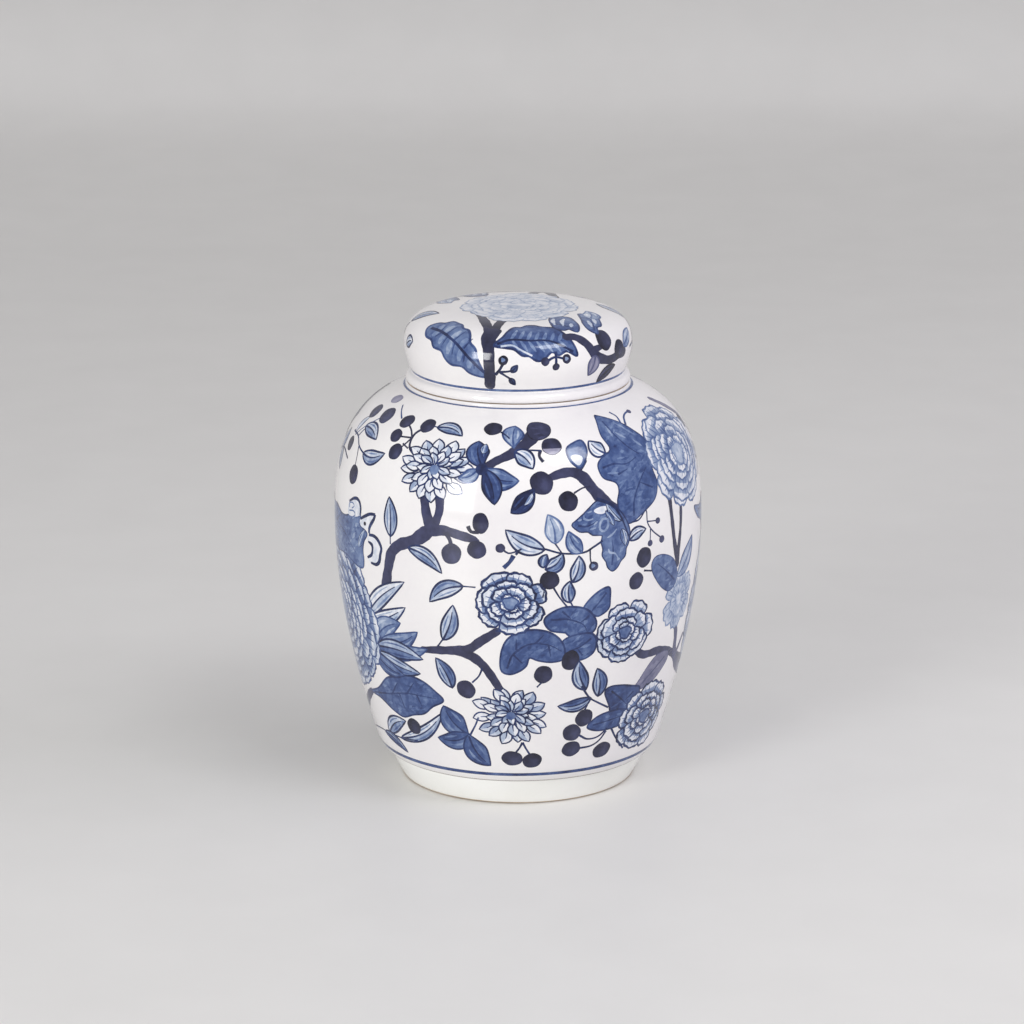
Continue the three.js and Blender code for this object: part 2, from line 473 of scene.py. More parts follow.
class Painting:
    """One motif: flat shapes laid over each other, cut into one film where only the top one shows.
    A tone is 0 for the palest wash to 1 for the darkest; paint is 0 cobalt, 1 indigo or 2 umber, the brown
    of a painted shadow."""

    def __init__(self, name, wall, turn=0.0, lift=0.03):
        self.name, self.wall, self.turn, self.lift = name, wall, turn, lift
        self.shapes = []
        self.random = random.Random(name.split("__")[0])

    def spot(self, place):
        return self.wall.spot((place[0] + self.turn, place[1]))

    def through(self, places, closed=False, step=1.1):
        """A smooth path on the sheet through a few places."""
        return smooth([self.spot(place) for place in places], closed, step)

    def local(self, middle, place):
        """A place as true millimetres from a spot."""
        offset = self.spot(place) - middle
        return complex(offset.real * float(self.wall.squeeze(self.spot(place).imag)), offset.imag)

    def jitter(self, amount):
        return self.random.uniform(-amount, amount)

    def fill(self, outline, tone, paint=0):
        """outline: spots of the sheet. tone: a number, or a function of spots."""
        outline = self.close_set(np.asarray(outline))
        area = np.sum(outline.real * np.roll(outline.imag, -1) - outline.imag * np.roll(outline.real, -1))
        self.shapes.append((outline if area > 0 else outline[::-1], tone, paint))

    def close_set(self, outline):
        """The outline with points added, so that no edge is long enough to sink into the wall."""
        points = []
        for a, b in zip(outline, np.roll(outline, -1)):
            cuts = max(1, math.ceil(abs(b - a) / self.wall.step))
            points.extend(a + (b - a) * np.arange(cuts) / cuts)
        return np.array(points)

    def spread(self, middle, offsets, tone, paint=0):
        """Fills an outline given in true millimetres from a spot."""
        self.fill(self.wall.around(middle, offsets), tone, paint)

    def line(self, path, width, tone=0.86, paint=0, closed=False):
        """A brush line along spots, with its width given at a few evenly spaced places."""
        path = np.asarray(path)
        ends = np.concatenate([path[-1:], path, path[:1]]) if closed else path
        along = np.gradient(ends)[1:-1] if closed else np.gradient(ends)
        squeeze = self.wall.squeeze(path.imag)
        along = along.real * squeeze + 1j * along.imag
        along = along / np.maximum(np.abs(along), 1e-9)
        side = 1j * along * spread_along(width, len(path)) / 2
        side = side.real / squeeze + 1j * side.imag
        left, right = path + side, path - side
        for i in range(len(path) if closed else len(path) - 1):
            n = (i + 1) % len(path)
            self.fill([right[i], right[n], left[n], left[i]], tone, paint)

    def stroke(self, places, widths, tone, paint=0):
        """One brush stroke through a few places."""
        self.line(self.through(places), widths, tone, paint)

    def stem(self, places, width=0.9, tone=0.86, paint=0):
        self.stroke(places, [width * 1.15, width * 0.85, width], tone, paint)

    def patch(self, places, tone):
        """A small flat area of one tone, such as glaze left bare or a painted reflection."""
        self.fill(self.through(places, closed=True), tone)

    def round_end(self, spot, radius, tone, paint=0):
        self.spread(spot, radius * np.exp(1j * angles_round(10)), tone, paint)

    # -- motifs --

    def berry(self, place, radius, tone=0.8, high=None, squash=1.0):
        """A loaded dab, darker round its edge. high is the tone of a pale lower half, a painted reflection
        of a lamp in the glaze.
        """
        middle = self.spot(place)
        phase = self.random.uniform(0, math.tau)
        angles = angles_round(24)
        wobble = 1 + 0.035 * np.sin(2 * angles + phase) + 0.02 * np.sin(5 * angles + 2 * phase)
        offsets = radius * wobble * (np.cos(angles) + 1j * squash * np.sin(angles))
        light = middle + radius * complex(0.35, -0.3)

        def shade(spots):
            return tone + 0.06 - 0.2 * np.clip(1.2 - np.abs(spots - light) / (0.8 * radius), 0, 1)

        self.spread(middle, offsets, shade, 1)
        if high is not None:
            # The pale lower half is a painted reflection of a lamp in the glaze.
            self.spread(middle, 0.93 * offsets[offsets.imag < -0.05 * radius], high, 1)

    def highlight(self, place, size):
        """A pale fleck left where the brush lifted."""
        angles = angles_round(10)
        self.spread(self.spot(place), size * np.exp(1j * angles) * (1 + 0.2 * np.cos(3 * angles)), 0.36)

    def branch(self, places, tone=0.68):
        """places: (degrees, up, width). A woody stroke with small knots where the brush paused."""
        spots = [self.spot(place) for place in places]
        path = self.through(places, step=1.4)
        reach, here = (np.concatenate([[0], np.cumsum(np.abs(np.diff(run)))]) for run in (spots, path))
        widths = np.interp(here / here[-1], reach / reach[-1], [width for _, _, width in places])
        slow, quick = (np.sin(here / pace + self.random.uniform(0, 6)) for pace in (2.1, 0.9))
        widths = 1.17 * widths * (1 + 0.06 * (slow + 0.7 * quick))
        self.line(path, widths, tone, 1)
        for end in (0, -1):
            self.round_end(path[end], widths[end] / 2, tone, 1)

    def blade(self, length, width, bend, fullness, count):
        """A leaf's two edges and midrib in true millimetres, from base to tip along +x."""
        t = np.linspace(0, 1, count)
        swell = np.sin(math.pi * t**fullness) ** 0.85
        rib = length * t + 1j * bend * length * np.sin(math.pi * t)
        slope = np.gradient(rib)
        side = 1j * slope / np.abs(slope) * width / 2 * swell
        return rib + side, rib - side, rib

    def blade_between(self, base, tip, width, bend, fullness, count):
        """A leaf's edges and midrib round its own middle, and the function that lays them out."""
        middle = self.spot(((base[0] + tip[0]) / 2, (base[1] + tip[1]) / 2))
        start, end = self.local(middle, base), self.local(middle, tip)
        length = abs(end - start)
        along = (end - start) / length
        runs = [start + along * run for run in self.blade(length, width, bend, fullness, count)]
        return runs, lambda run: self.wall.around(middle, run)

    def leaf(self, base, tip, width, bend=0.0, wash=0.2, edge=1.0, vein=True):
        """An outlined leaf with a pale wash that is darker along one side of its vein."""
        (left, right, rib), lay = self.blade_between(base, tip, width, bend, 0.85, 18)
        outline = lay(loop(left, right))
        self.fill(outline, 0.7 * wash)
        self.fill(lay(loop(rib, right)), wash + 0.14)
        self.line(lay((0.45 * rib + 0.55 * left)[3:-5]), [0.3, 1.0, 0.4], wash + 0.22)
        self.line(lay((0.4 * rib + 0.6 * right)[4:-4]), [0.4, 1.3, 0.4], wash + 0.3)
        self.line(outline, [edge, 1.25 * edge, 0.9 * edge, 1.2 * edge, edge], 0.88, closed=True)
        if vein:
            self.line(lay(rib[:-3]), [edge * 1.3, edge * 0.9, edge * 0.5])

    def deep_leaf(self, base, tip, width, bend=0.0, tone=0.62, fullness=0.8, paint=0):
        """A leaf filled with strong colour, its edge and vein darker still."""
        (left, right, rib), lay = self.blade_between(base, tip, width, bend, fullness, 22)
        outline = lay(loop(left, right))
        self.fill(outline, tone, paint)
        self.fill(lay(loop(rib, left)), tone - 0.1, paint)
        for side, low, high in ((left, 5, 15), (right, 8, 18)):
            mix = 0.45 + self.jitter(0.08)
            streak = lay((mix * rib + (1 - mix) * side)[low:high])
            self.line(streak, [0.3, 0.13 * width, 0.3], tone - 0.22, paint)
        self.line(outline, [0.7, 1.0, 0.8, 1.1, 0.7], min(tone + 0.18, 0.95), paint, closed=True)
        self.line(lay(rib[1:-3]), [1.2, 0.9, 0.4], min(tone + 0.2, 0.98), paint)

    def big_leaf(self, outline, veins=(), tone=0.6, paint=0, edge=0.9, daubs=None, rim=None):
        """A large brushed leaf: outline through a few places, with veins drawn over it."""
        spots = self.through(outline, closed=True)
        rim = min(tone + 0.18, 0.95) if rim is None else rim
        self.fill(spots, tone, paint)
        self.daub(spots, tone, paint, daubs)
        self.line(spots, [edge, 1.3 * edge, edge, 1.2 * edge], rim, paint, closed=True)
        for vein in veins:
            self.stroke(vein, [1.1, 0.9, 0.35], min(tone + 0.18, 0.97), paint)

    def daub(self, outline, tone, paint, count=None):
        """Short slanting brush marks, lighter and darker than the leaf they lie in."""
        low, high = outline.real.min(), outline.real.max()
        bottom, top = outline.imag.min(), outline.imag.max()
        slant = self.random.uniform(0.2, 0.9)
        for _ in range(round((high - low) * (top - bottom) / 20) if count is None else count):
            start = complex(self.random.uniform(low, high), self.random.uniform(bottom, top))
            reach = self.random.uniform(3.0, 6.0) * np.exp(1j * (slant + self.jitter(0.5)))
            path = smooth([start, start + 0.5 * reach + self.jitter(0.4), start + reach], step=0.8)
            change = self.random.choice((-0.12, -0.07, 0.08))
            if all(inside(spot, outline) for spot in path):
                self.line(path, [0.3, self.random.uniform(1.2, 2.4), 0.3], tone + change, paint)

    def petal(self, middle, squash, angle, root, reach, half, wash, edge, faint, pale):
        """A scalloped petal of a peony. root and reach are radii, half is half of its angle."""
        tall = reach - root
        t = np.linspace(-1, 1, 15)
        lean = self.jitter(0.25)
        scallops = self.random.choice((1.5, 2.5, 2.0))
        ruffle = 1 - 0.12 * np.abs(np.sin(scallops * math.pi * (t + 0.2 * lean))) ** 1.6 + 0.08 * lean * t
        radius = root + tall * (1 - np.abs(t) ** 3.4) ** 0.5 * ruffle
        tip = radius * np.exp(1j * (angle + half * t))
        stretch = float(self.wall.squeeze(middle.imag))

        def lay(run):
            return self.wall.around(middle, run.real + 1j * run.imag * squash)

        def shade(spots):
            away = spots - middle
            rise = np.hypot(away.real * stretch, away.imag / squash) - root
            return faint * (wash + (0.24 - wash) * np.clip(rise / tall, 0, 1))

        self.fill(lay(np.append(tip, root * 0.75 * np.exp(1j * angle))), shade)
        u = np.linspace(-1, 1, 9)
        outer = root + tall * (0.9 - 0.16 * u**2 - 0.07 * np.abs(np.sin(2.5 * u)))
        inner = root + tall * (0.5 + self.jitter(0.06) + 0.12 * np.abs(u[::-1]))
        outer = outer * np.exp(1j * (angle + 0.74 * half * u))
        inner = inner * np.exp(1j * (angle + 0.66 * half * u[::-1]))
        self.fill(lay(np.concatenate([outer, inner])), pale)
        for side in (-0.4, 0.1, 0.45):
            ray = np.exp(1j * (angle + side * half)) * np.array([root, root + tall * 0.72])
            self.line(smooth(lay(ray)), [0.16 * tall, 0.3], faint * (wash + 0.06))
        self.line(lay(tip), [edge * 0.7, edge * 1.4, edge * 0.9, edge * 1.5, edge * 0.7], 0.84 * faint)

    def peony(self, place, radius, squash, turn, rings, petals, wash, edge=1.05, faint=1.0, pale=0.05):
        """A full peony: rings of scalloped petals, each ring lapping over the one outside it."""
        middle = self.spot(place)
        for k in range(rings):
            reach = radius * (1 - k / (rings + 0.5))
            root = max(reach - 1.7 * radius / (rings + 0.5), 0.1 * radius)
            count = max(petals - k, 4)
            order = list(range(count))
            self.random.shuffle(order)
            for j in order:
                angle = turn + math.tau * (j + 0.37 * k) / count + self.jitter(0.5 / count)
                half = (0.6 + self.jitter(0.12)) * math.tau / count
                far = reach * (1 + self.jitter(0.07))
                load = wash + self.jitter(0.12)
                self.petal(middle, squash, angle, root, far, half, load, edge, faint, pale)
        angles = angles_round(18)
        heart = 0.2 * radius * (1 + 0.14 * np.sin(3 * angles) + 0.08 * np.sin(5 * angles + 1))
        heart = self.wall.around(middle, heart * (np.cos(angles) + 1j * squash * np.sin(angles)))
        self.fill(heart, 0.48 * faint)
        self.line(heart, 0.9, 0.74 * faint, closed=True)

    def chrysanthemum(self, place, radius, squash, turn, wash):
        """A bloom of pointed petals in three close rings, seen a little from one side."""
        middle = self.spot(place)
        lie = np.exp(1j * turn)
        for k in range(3):
            reach = radius * (1 - 0.27 * k)
            length = 0.56 * radius * (1 - 0.12 * k)
            count = 16 - 3 * k
            shift = 0.05 * radius * k
            for j in range(count):
                spin = np.exp(1j * (math.tau * (j + 0.5 * (k % 2)) / count + self.jitter(0.1)))
                far = reach * (1 + self.jitter(0.08))
                wide = 1.08 * math.tau * 0.72 * far / count
                left, right, rib = self.blade(length, wide, self.jitter(0.1), 1.15, 9)

                def lay(run):
                    run = (run + far - length) * spin
                    return self.wall.around(middle, (run.real + 1j * (run.imag * squash + shift)) * lie)

                load = wash + self.jitter(0.14)
                outline = lay(loop(left, right))
                self.fill(outline, load - 0.3)
                self.fill(lay(loop(rib, right)), load - 0.1)
                self.line(outline, 0.85, closed=True)
                self.line(lay(rib[1:-3]), [0.9, 0.4], 0.74)
        self.spread(middle, 0.12 * radius * np.exp(1j * angles_round(14)), 0.5)

    def ring(self, up, width, tone, paint=0):
        """A painted line right round the piece."""
        angles = np.linspace(0, 360, 181)
        wobble = 0.05 * np.sin(np.radians(3 * angles))
        self.line([self.wall.spot(place) for place in zip(angles, up + wobble)], width, tone, paint)

    # -- film --

    def cut(self):
        """The sheet's spots, its triangles, and the topmost shape over each triangle."""
        points, faces = [], []
        for outline, _, _ in self.shapes:
            faces.append(list(range(len(points), len(points) + len(outline))))
            points.extend(outline)
        points = np.array(points)
        columns, rows = (
            np.arange(run.min() - 1, run.max() + 1, self.wall.step) for run in (points.real, points.imag)
        )
        grid = (columns[:, None] + 1j * rows[None, :]).ravel()
        flat = [Vector((z.real, z.imag)) for z in np.concatenate([points, grid])]
        spots, _, triangles, _, _, owners = delaunay_2d_cdt(flat, [], faces, 1, 1e-4)
        spots = np.array([complex(*v) for v in spots])
        middles = spots[np.array(triangles)].mean(axis=1)
        boxes = [(o.real.min(), o.real.max(), o.imag.min(), o.imag.max()) for o, _, _ in self.shapes]
        kept, tops = [], []
        for triangle, middle, claims in zip(triangles, middles, owners):
            for top in sorted(claims, reverse=True):
                west, east, south, north = boxes[top]
                if west <= middle.real <= east and south <= middle.imag <= north:
                    kept.append(triangle)
                    tops.append(top)
                    break
        used, kept = np.unique(np.array(kept), return_inverse=True)
        return spots[used], kept.reshape(-1, 3), tops

    def finish(self):
        """Cuts the shapes into one film of colour, closed underneath, and lays it on the wall."""
        spots, triangles, tops = self.cut()
        tones = np.zeros((len(triangles), 3))
        for i, top in enumerate(tops):
            tone = self.shapes[top][1]
            tones[i] = tone(spots[triangles[i]]) if callable(tone) else tone
        above, normals = self.wall.wrap(spots, self.lift)
        below, _ = self.wall.wrap(spots, -FILM_DEPTH)
        edges = {}
        for a, b, c in triangles.tolist():
            for edge in ((a, b), (b, c), (c, a)):
                edges[edge] = True
        rim = [(a, b) for a, b in edges if (b, a) not in edges]
        count, under = len(spots), triangles[:, ::-1]
        faces = triangles.tolist() + (under + count).tolist()
        faces += [[b, a, a + count, b + count] for a, b in rim]
        worn = sorted({self.shapes[top][2] for top in tops})
        slots = [worn.index(self.shapes[top][2]) for top in tops]
        slots = slots + slots + [slots[0]] * len(rim)
        inks = [INKS[paint] for paint in worn]
        piece = new_piece(self.name, np.concatenate([above, below]), faces, inks, slots)
        mesh = piece.data
        layer = mesh.attributes.new("tone", "FLOAT", "CORNER")
        values = np.concatenate([tones.ravel(), tones[:, ::-1].ravel(), np.full(4 * len(rim), RIM_TONE)])
        layer.data.foreach_set("value", values)
        map_uv(mesh, np.concatenate([spots, spots]))
        start, end = np.array(rim).T
        sides = np.cross(above[start] - above[end], normals[start])
        sides /= np.maximum(np.linalg.norm(sides, axis=1), 1e-9)[:, None]
        corner = [normals[triangles.ravel()], -normals[under.ravel()], np.repeat(sides, 4, axis=0)]
        mesh.normals_split_custom_set(np.concatenate(corner).tolist())
        mesh.update()
        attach(piece, self.wall.body)


def map_uv(mesh, spots):
    """The unrolled sheet as the piece's own map."""
    corners = np.zeros(len(mesh.loops), int)
    mesh.loops.foreach_get("vertex_index", corners)
    runs = (spots.real, spots.imag)
    u, v = (MARGIN + (1 - 2 * MARGIN) * (run - run.min()) / (run.max() - run.min()) for run in runs)
    layer = mesh.uv_layers.new(name="OFBake")
    layer.data.foreach_set("uv", np.stack([u[corners], v[corners]], 1).ravel())


# ---- painting: the scene on the jar, in (degrees from the front, millimetres up the wall) ------

MOTIFS = []


def motif(wall, lift):
    """Puts a function that draws with a Painting, p, among the motifs for one wall. lift is how far
    the film lies over the glaze, so that a motif with more lift laps over its neighbours."""

    def add(draw):
        MOTIFS.append((draw, wall, lift))
        return draw

    return add


@motif(BODY, 0.03)
def upper_left_spray(p):
    p.stem([(-78, 178), (-71.5, 177), (-67, 173), (-61.5, 170.5)], 1.0)
    p.stem([(-71.5, 177), (-69.5, 182), (-66.5, 186)], 0.9)
    p.stem([(-67.3, 173), (-65.8, 168), (-65, 162)], 0.8)
    p.leaf((-70.5, 183.5), (-58.3, 179.8), 7.5, 0.1)
    p.leaf((-62.5, 170.8), (-50.5, 174.5), 7.5, -0.12)
    p.berry((-65, 158.5), 5.0)
    p.leaf((-76, 177.6), (-72.4, 189), 4.2, 0.1, wash=0.03, edge=0.5, vein=False)
    p.stem([(-75, 176.4), (-71.4, 182), (-67, 188), (-65, 190.6)], 0.7, 0.6)
    p.berry((-72.8, 192.7), 4.4, 0.7, squash=1.1)
    p.berry((-62.3, 193.8), 5.3, 0.7)
    p.berry((-69, 204.5), 4.4, 0.15, squash=0.8)
    p.stem([(-52.5, 195), (-57, 199.5), (-60, 203)], 0.8, 0.7)
    for tip, side in (
        ((-48.2, 194), (-44, 190.5)), ((-48.8, 185), (-44.5, 185.6)), ((-46, 177), (-43.5, 181)),
    ):
        p.stem([tip, side, (-41.3, 186)], 1.1, 0.8, 1)
    p.berry((-48.6, 194.4), 4.4)
    p.berry((-49.2, 185.2), 3.9)
    p.berry((-46, 177), 4.4)
    p.stem([
        (-37.5, 193), (-40.3, 190), (-41.3, 186.3), (-40.6, 181), (-38, 178), (-35.5, 175.5),
    ], 1.5, 0.8, 1)
    p.stem([(-44.2, 182), (-41, 180)], 0.9, 0.8, 1)
    p.berry((-37.5, 194.6), 4.4)
    p.stem([(-34.5, 194.8), (-31, 194.6)], 0.7)
    p.leaf((-33, 194.5), (-21.3, 191.2), 6.6, 0.14)


@motif(BODY, 0.05)
def upper_chrysanthemum(p):
    p.chrysanthemum((-28.3, 171.5), 21.5, 0.76, 0.12, 0.24)


@motif(BODY, 0.03)
def berry_branch(p):
    p.branch([
        (-30.5, 158, 4.6), (-29.4, 150, 4.4), (-28, 143, 5.5), (-29.5, 139, 6.5), (-34, 134, 5.4),
        (-38.6, 131, 5), (-42, 126, 5.4), (-43.6, 118, 5.2), (-45, 107.5, 5.8),
    ])
    p.branch([(-25.2, 160, 4.2), (-24.8, 152, 3.8), (-26.2, 145, 4.2), (-28.4, 140.5, 4.2)])
    p.branch([(-28, 140.6, 5), (-23, 141.8, 4.4), (-18, 140.2, 4), (-13.5, 138.3, 3.6), (-11.8, 135, 2.6)])
    p.stem([(-22.5, 141), (-21, 137), (-20.6, 133)], 2.4, 0.74, 1)
    p.berry((-20.6, 130.3), 5.4, 0.74)
    p.berry((-12.6, 133.4), 4.8, 0.76)
    p.stem([(-15.4, 145.2), (-14.4, 142.4), (-12, 142.4)], 1.9, 0.85, 1)
    p.berry((-11.5, 147), 4.3, 0.84, squash=1.2)
    p.leaf((-42.6, 134), (-44, 154), 8.6, -0.04)
    p.stem([(-42.6, 130), (-42.7, 134.5)], 0.8)
    p.leaf((-35.6, 130.2), (-23.8, 119.6), 7.2, 0.12)
    p.leaf((-16.9, 113.9), (-28.2, 103.6), 8.4, -0.12)
    p.stem([(-17.4, 113.9), (-13, 113.8)], 0.8)
    p.leaf((-24.4, 83.6), (-20.4, 103.2), 8.6, -0.06)
    p.stem([(-26.5, 79.5), (-24.4, 84)], 0.9)


@motif(BODY, 0.07)
def clover_spray(p):
    p.branch([
        (-11, 174, 4.5), (-8, 178, 3.4), (-3.5, 181.5, 4.4), (0, 184.5, 5.2), (2.8, 188, 5.4),
        (5.6, 193, 6.4),
    ], 0.76)
    p.big_leaf([
        (4.2, 192), (3.4, 197), (5, 201), (9, 201.3), (12.3, 199), (12.6, 195), (10.6, 191.5), (7, 190),
    ], (), 0.74, 1, 0.4)
    p.deep_leaf((-1.5, 185.5), (-1.2, 199), 10.5, 0.06, 0.5, 1.35)
    p.stem([(-6.7, 195), (-4.6, 193), (-3.2, 191)], 0.9)
    p.berry((-9.9, 197), 4.8, 0.88, squash=0.84)
    p.stem([(-1, 184), (4, 184.4), (8, 184)], 1.0)
    p.leaf((-1.2, 183.5), (4.8, 174.6), 8.4, 0.1, wash=0.12)
    p.deep_leaf((-11.5, 174.5), (-14.4, 188.8), 11.5, 0.1, 0.72, 1.25)
    p.leaf((-12.2, 182), (-11.4, 187.5), 4.0, 0.0, wash=0.22, edge=0.4, vein=False)
    p.deep_leaf((-12, 174), (0.2, 168.6), 10.5, -0.12, 0.56, 0.95)
    p.deep_leaf((-11.6, 174.5), (-7.3, 156.6), 9.6, 0.08, 0.84, 1.1)
    p.deep_leaf((-13.2, 173.6), (-19.4, 168.6), 6.6, 0.12, 0.5)
    p.round_end(p.spot((-12, 174)), 3.2, 0.84)


@motif(BODY, 0.03)
def berry_arch(p):
    p.branch([
        (9.6, 169.6, 3.2), (14, 171.6, 4), (18, 171.8, 4.6), (21.3, 168.6, 5), (24, 162.6, 5),
        (27, 156.8, 5.4), (30.6, 151.4, 5), (34.5, 146.2, 4),
    ], 0.7)
    p.branch([(19.2, 171, 2.6), (21.5, 174.5, 1.6), (23, 177, 1.2)], 0.74)
    p.berry((7.4, 167.3), 5.9)
    p.deep_leaf((5, 164.6), (-2.2, 152.6), 8.6, 0.06, 0.9, 1.05)
    p.leaf((4.4, 162.4), (1.8, 156.4), 2.6, 0.1, wash=0.1, edge=0.3, vein=False)
    p.stem([(17.6, 161.4), (20.6, 163.6), (23.2, 164)], 0.9, 0.8, 1)
    p.berry((15.6, 157.6), 5.1, 0.86)
    # This berry's pale lower half is a painted reflection of a lamp in the glaze.
    p.berry((11.9, 186.2), 5.0, 0.82, high=0.03)
    p.stem([(7.8, 184.4), (7.2, 181), (8.4, 178)], 1.7, 0.86, 1)
    p.big_leaf([
        (17.2, 184.6), (20, 187.2), (23.4, 188.2), (24.4, 183), (22.8, 177), (20.6, 173.6), (18.2, 176.4),
        (17, 180.4),
    ], (), 0.52, edge=0.9, daubs=2)
    # The white patch on this leaf's lower part is a painted reflection of a lamp in the glaze.
    p.patch([(18, 180), (20, 180.8), (22, 179.6), (22, 177.6), (20.5, 175), (18.8, 176.8)], 0.02)
    p.leaf((31, 179.6), (26.2, 187.4), 8.4, 0.1, wash=0.06)
    p.stem([(31, 179.6), (33, 179.9)], 0.8)


@motif(BODY, 0.05)
def cobalt_foliage(p):
    p.stem([(45.6, 193), (47.6, 197.5), (50.4, 199.8), (53.6, 200.4)], 1.1, 0.66)
    p.berry((53.2, 200.2), 1.4, 0.5)
    p.stem([(44, 195), (44.4, 199.5), (42.8, 203)], 1.0, 0.66)
    p.big_leaf([
        (34.4, 202.6), (33.6, 199.4), (32, 190), (33.4, 182.4), (32, 179.6), (28.6, 177), (27, 173.4),
        (28.2, 167.4), (32.4, 164.2), (33.2, 160), (32.2, 154), (33.4, 147), (36.2, 142.6), (41.4, 146.4),
        (47.4, 152.2), (49.4, 160), (48.6, 168), (50.4, 176), (50.2, 183), (47.6, 188.6), (44.2, 194.4),
        (39.6, 199.2), (35.4, 202.4),
    ], [
        [(28.6, 172.4), (33, 173.6), (38, 172.6), (43, 175)],
        [(36, 198), (37.4, 190), (40.4, 182), (44.6, 176)],
        [(38, 146), (38.6, 154), (41.6, 162), (45.6, 168.6)], [(33.8, 168), (38, 170)],
        [(47, 158), (42, 162)],
    ], 0.6, edge=0.6)
    for start, end in (
        ((40.6, 196), (44.4, 190.4)), ((43, 192), (46.6, 186.6)), ((38.6, 190), (41.8, 185.8)),
        ((36, 194.6), (36.6, 188)), ((30, 169.4), (34, 168.8)), ((44.6, 184), (47.4, 179.6)),
    ):
        p.stroke([start, end], [0.4, 1.5, 0.4], 0.42)
    p.big_leaf([
        (16.4, 145.4), (17.6, 147.4), (20.2, 150.6), (22.4, 153.6), (25, 156.4), (28, 155.6), (31, 152.8),
        (33.6, 148.4), (35.4, 143.4), (36.2, 138.6), (35.6, 132.6), (34.8, 130.4), (34.4, 126.4),
        (32.8, 124), (31.6, 121), (29.8, 119.4), (28, 122), (27.6, 124.6), (26.2, 128.2), (26.4, 131.6),
        (25.8, 135.6), (26.2, 138.6), (23, 139.4), (21.6, 141.2), (18.8, 141.8),
    ], [
        [(18.4, 145), (21.4, 144.2), (25, 146.4)], [(29.6, 122.6), (30, 130), (29.6, 136)],
    ], 0.55, edge=0.6, rim=0.82)
    p.patch([(23.8, 152.1), (26.2, 153.4), (28.2, 153), (27.6, 150.2), (26, 149.6), (24.2, 150.6)], 0.0)
    p.leaf((33.2, 144.6), (28, 155), 4.6, 0.04, wash=0.26, edge=0.5)
    p.leaf((30.4, 143), (27.6, 151), 3.2, -0.06, wash=0.34, edge=0.4, vein=False)
    p.leaf((33.2, 140.6), (34.4, 131.6), 4.4, 0.04, wash=0.3, edge=0.4)
    pale_ring = [(25.6, 144.6), (26.6, 147), (28.2, 146.6), (28.4, 143.4), (27, 140.8), (25.6, 142)]
    p.line(p.through(pale_ring, closed=True), 1.2, 0.32, closed=True)
    light_strokes = [
        [(28, 137.2), (29.6, 138.4), (31.4, 141)], [(20.4, 150), (20.4, 148.2), (22, 147.2), (23.4, 147.8)],
        [(18.4, 147.4), (19.6, 147.8)], [(23.6, 144.6), (24.8, 146.2)],
        [(28.4, 131.4), (28.8, 129.4), (30.8, 128.4), (31.8, 125.6)], [(21.6, 151), (23, 151.6)],
        [(22.2, 142.4), (24.2, 143)],
    ]
    for places in light_strokes:
        p.stroke(places, [0.5, 1.3, 0.8, 0.6], 0.32)
    p.highlight((31.8, 125.4), 0.9)
    p.stroke([
        (24.8, 157.4), (28, 155.4), (31, 152), (33.4, 145.6), (35.2, 138.4), (36.4, 134.6),
    ], [2.0, 1.6, 1.0, 0.8], 0.88)
    p.stem([(37, 143), (40, 143.6), (43, 147.5), (43.4, 141), (45.6, 136), (49.6, 131)], 0.8)
    p.stem([(43.2, 141.6), (47.6, 140.8)], 0.7)
    p.stem([(44.6, 137.6), (44.4, 131)], 0.7)
    p.leaf((36, 134), (42.6, 138), 6.0, 0.1, wash=0.1)
    for place, size in (((48, 140.6), 1.7), ((49.8, 130.4), 2.0), ((44.4, 130), 1.7)):
        p.berry(place, size, 0.6)
    p.berry((41.9, 123.4), 5.2, 0.84)
    p.berry((39, 111.8), 4.6, 0.78)
    p.stem([(42, 116.4), (45.4, 115.2)], 1.0, 0.8, 1)


@motif(BODY, 0.09)
def right_peony(p):
    p.branch([(54.6, 150, 2.6), (55.2, 140, 2.4), (56.4, 128, 2.6), (58.6, 116, 3.4)], 0.76)
    p.branch([(61, 146, 2.4), (60.4, 134, 2.2), (59.2, 122, 2.6), (58.8, 114, 3)], 0.76)
    p.big_leaf([
        (45.4, 119.4), (47.4, 122.2), (51.6, 121.6), (56.4, 117.4), (59, 110), (58.4, 104), (55, 101),
        (51.2, 103.8), (47.8, 109.4), (45.6, 115),
    ], [[(57.6, 106), (53, 112), (48, 118)]], 0.54, edge=0.4)
    p.deep_leaf((59.4, 107), (69.4, 125), 11, -0.08, 0.42, 0.9)
    p.branch([(77, 201, 2.6), (80.6, 195, 3.2), (84.6, 189, 3.4), (89, 183, 3)], 0.3)
    p.peony((66, 170), 28.5, 1.0, 0.2, rings=6, petals=9, wash=0.78, edge=0.85, faint=0.62)


@motif(BODY, 0.05)
def right_side_flowers(p):
    p.branch([(61, 84, 3.0), (64, 74, 3.2), (66.4, 62, 4), (73, 52, 4.4), (80, 47, 4)], 0.5)
    p.branch([(72, 70, 2.2), (68.4, 62, 2.6)], 0.5)
    p.peony((62, 94), 16, 1.05, 0.5, rings=2, petals=6, wash=0.9, edge=0.9, faint=0.42, pale=0.2)


